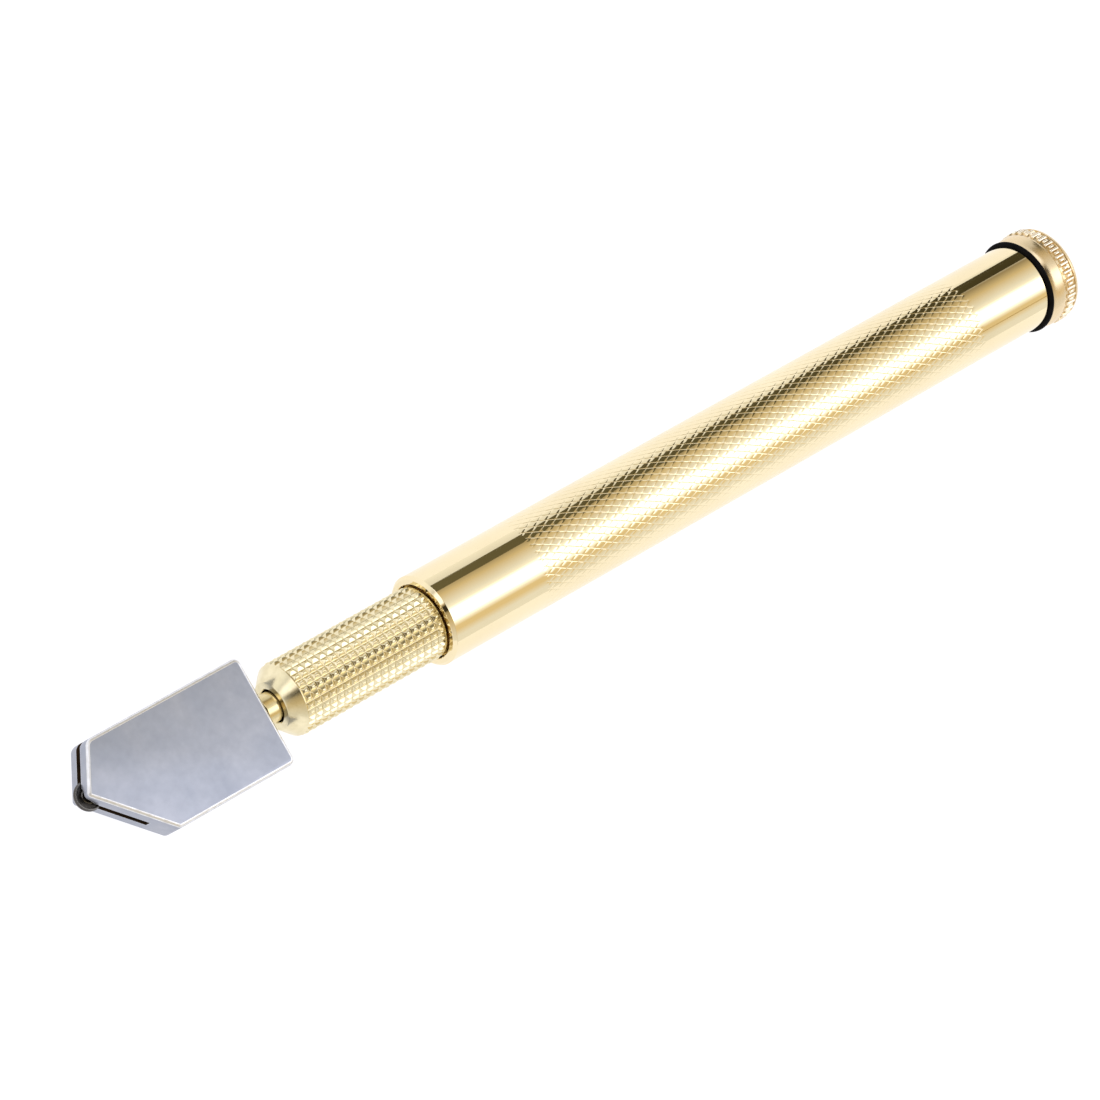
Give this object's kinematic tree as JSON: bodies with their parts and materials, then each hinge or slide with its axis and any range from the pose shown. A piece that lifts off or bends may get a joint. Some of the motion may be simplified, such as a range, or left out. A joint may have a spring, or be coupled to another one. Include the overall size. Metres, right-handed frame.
{
  "type": "glass cutter",
  "caption": "Oil-fed glass cutter: knurled brass handle with a screw cap, knurled nose, and a flat swivelling head with a small cutting wheel.",
  "frame": {"origin": "centre of the cap's flat butt, on the handle's axis", "axes": "+X along the handle's axis from the butt to the cutting wheel, +Z square to the flat of the head, +Y completes the right-handed frame"},
  "size_m": [0.1799, 0.0154, 0.0146],
  "materials": {
    "polished_brass": "polished and lightly diamond knurled",
    "knurled_brass": "bright, coarse knurl",
    "satin_brass": "satin",
    "plain_brass": "as turned",
    "nickel": "satin nickel plate",
    "steel": "bright",
    "carbide": "ground",
    "rubber": "matt black",
    "fibre": "pressed fibre",
    "cotton": "soft"
  },
  "bodies": {
    "handle": {"handle_tube": "polished_brass", "rear_insert": "plain_brass", "front_insert": "plain_brass", "nose_collar": "knurled_brass", "nose_gasket": "fibre", "stem_o_ring": "rubber", "valve_seat": "plain_brass", "spring_seat": "plain_brass", "valve_spring": "steel"},
    "valve": {"valve_ball": "steel"},
    "head": {"head_body": "nickel", "head_stem": "plain_brass", "retaining_ring": "steel", "thrust_washer": "steel", "oil_wick": "cotton", "wheel_axle": "steel"},
    "wheel": {"cutting_wheel": "carbide"},
    "cap_seal": {"cap_o_ring": "rubber"},
    "cap": {"end_cap": "satin_brass"}
  },
  "joints": [
    {"name": "head_press", "type": "slide", "parent": "handle", "child": "valve", "axis": [-1, 0, 0], "range_m": [0, 0.0012], "stiffness_N_per_m": 800, "springref_m": -0.003, "deforming": ["valve_spring"]},
    {"name": "head_swivel", "type": "hinge", "parent": "valve", "child": "head", "pos_m": [0.1507, 0, 0], "axis": [1, 0, 0], "continuous": true},
    {"name": "wheel_spin", "type": "hinge", "parent": "head", "child": "wheel", "pos_m": [0.1779, -0.0015, 0], "axis": [0, 0, 1], "continuous": true},
    {"name": "cap_lift", "type": "slide", "parent": "handle", "child": "cap_seal", "axis": [-1, 0, 0], "range_m": [0, 0.0071]},
    {"name": "cap_turn", "type": "hinge", "parent": "cap_seal", "child": "cap", "pos_m": [0, 0, 0], "axis": [-1, 0, 0], "range_deg": [0, 2520]}
  ],
  "couplings": [
    {"joint": "cap_lift", "follows": "cap_turn", "m_per_rad": 0.00015915}
  ]
}
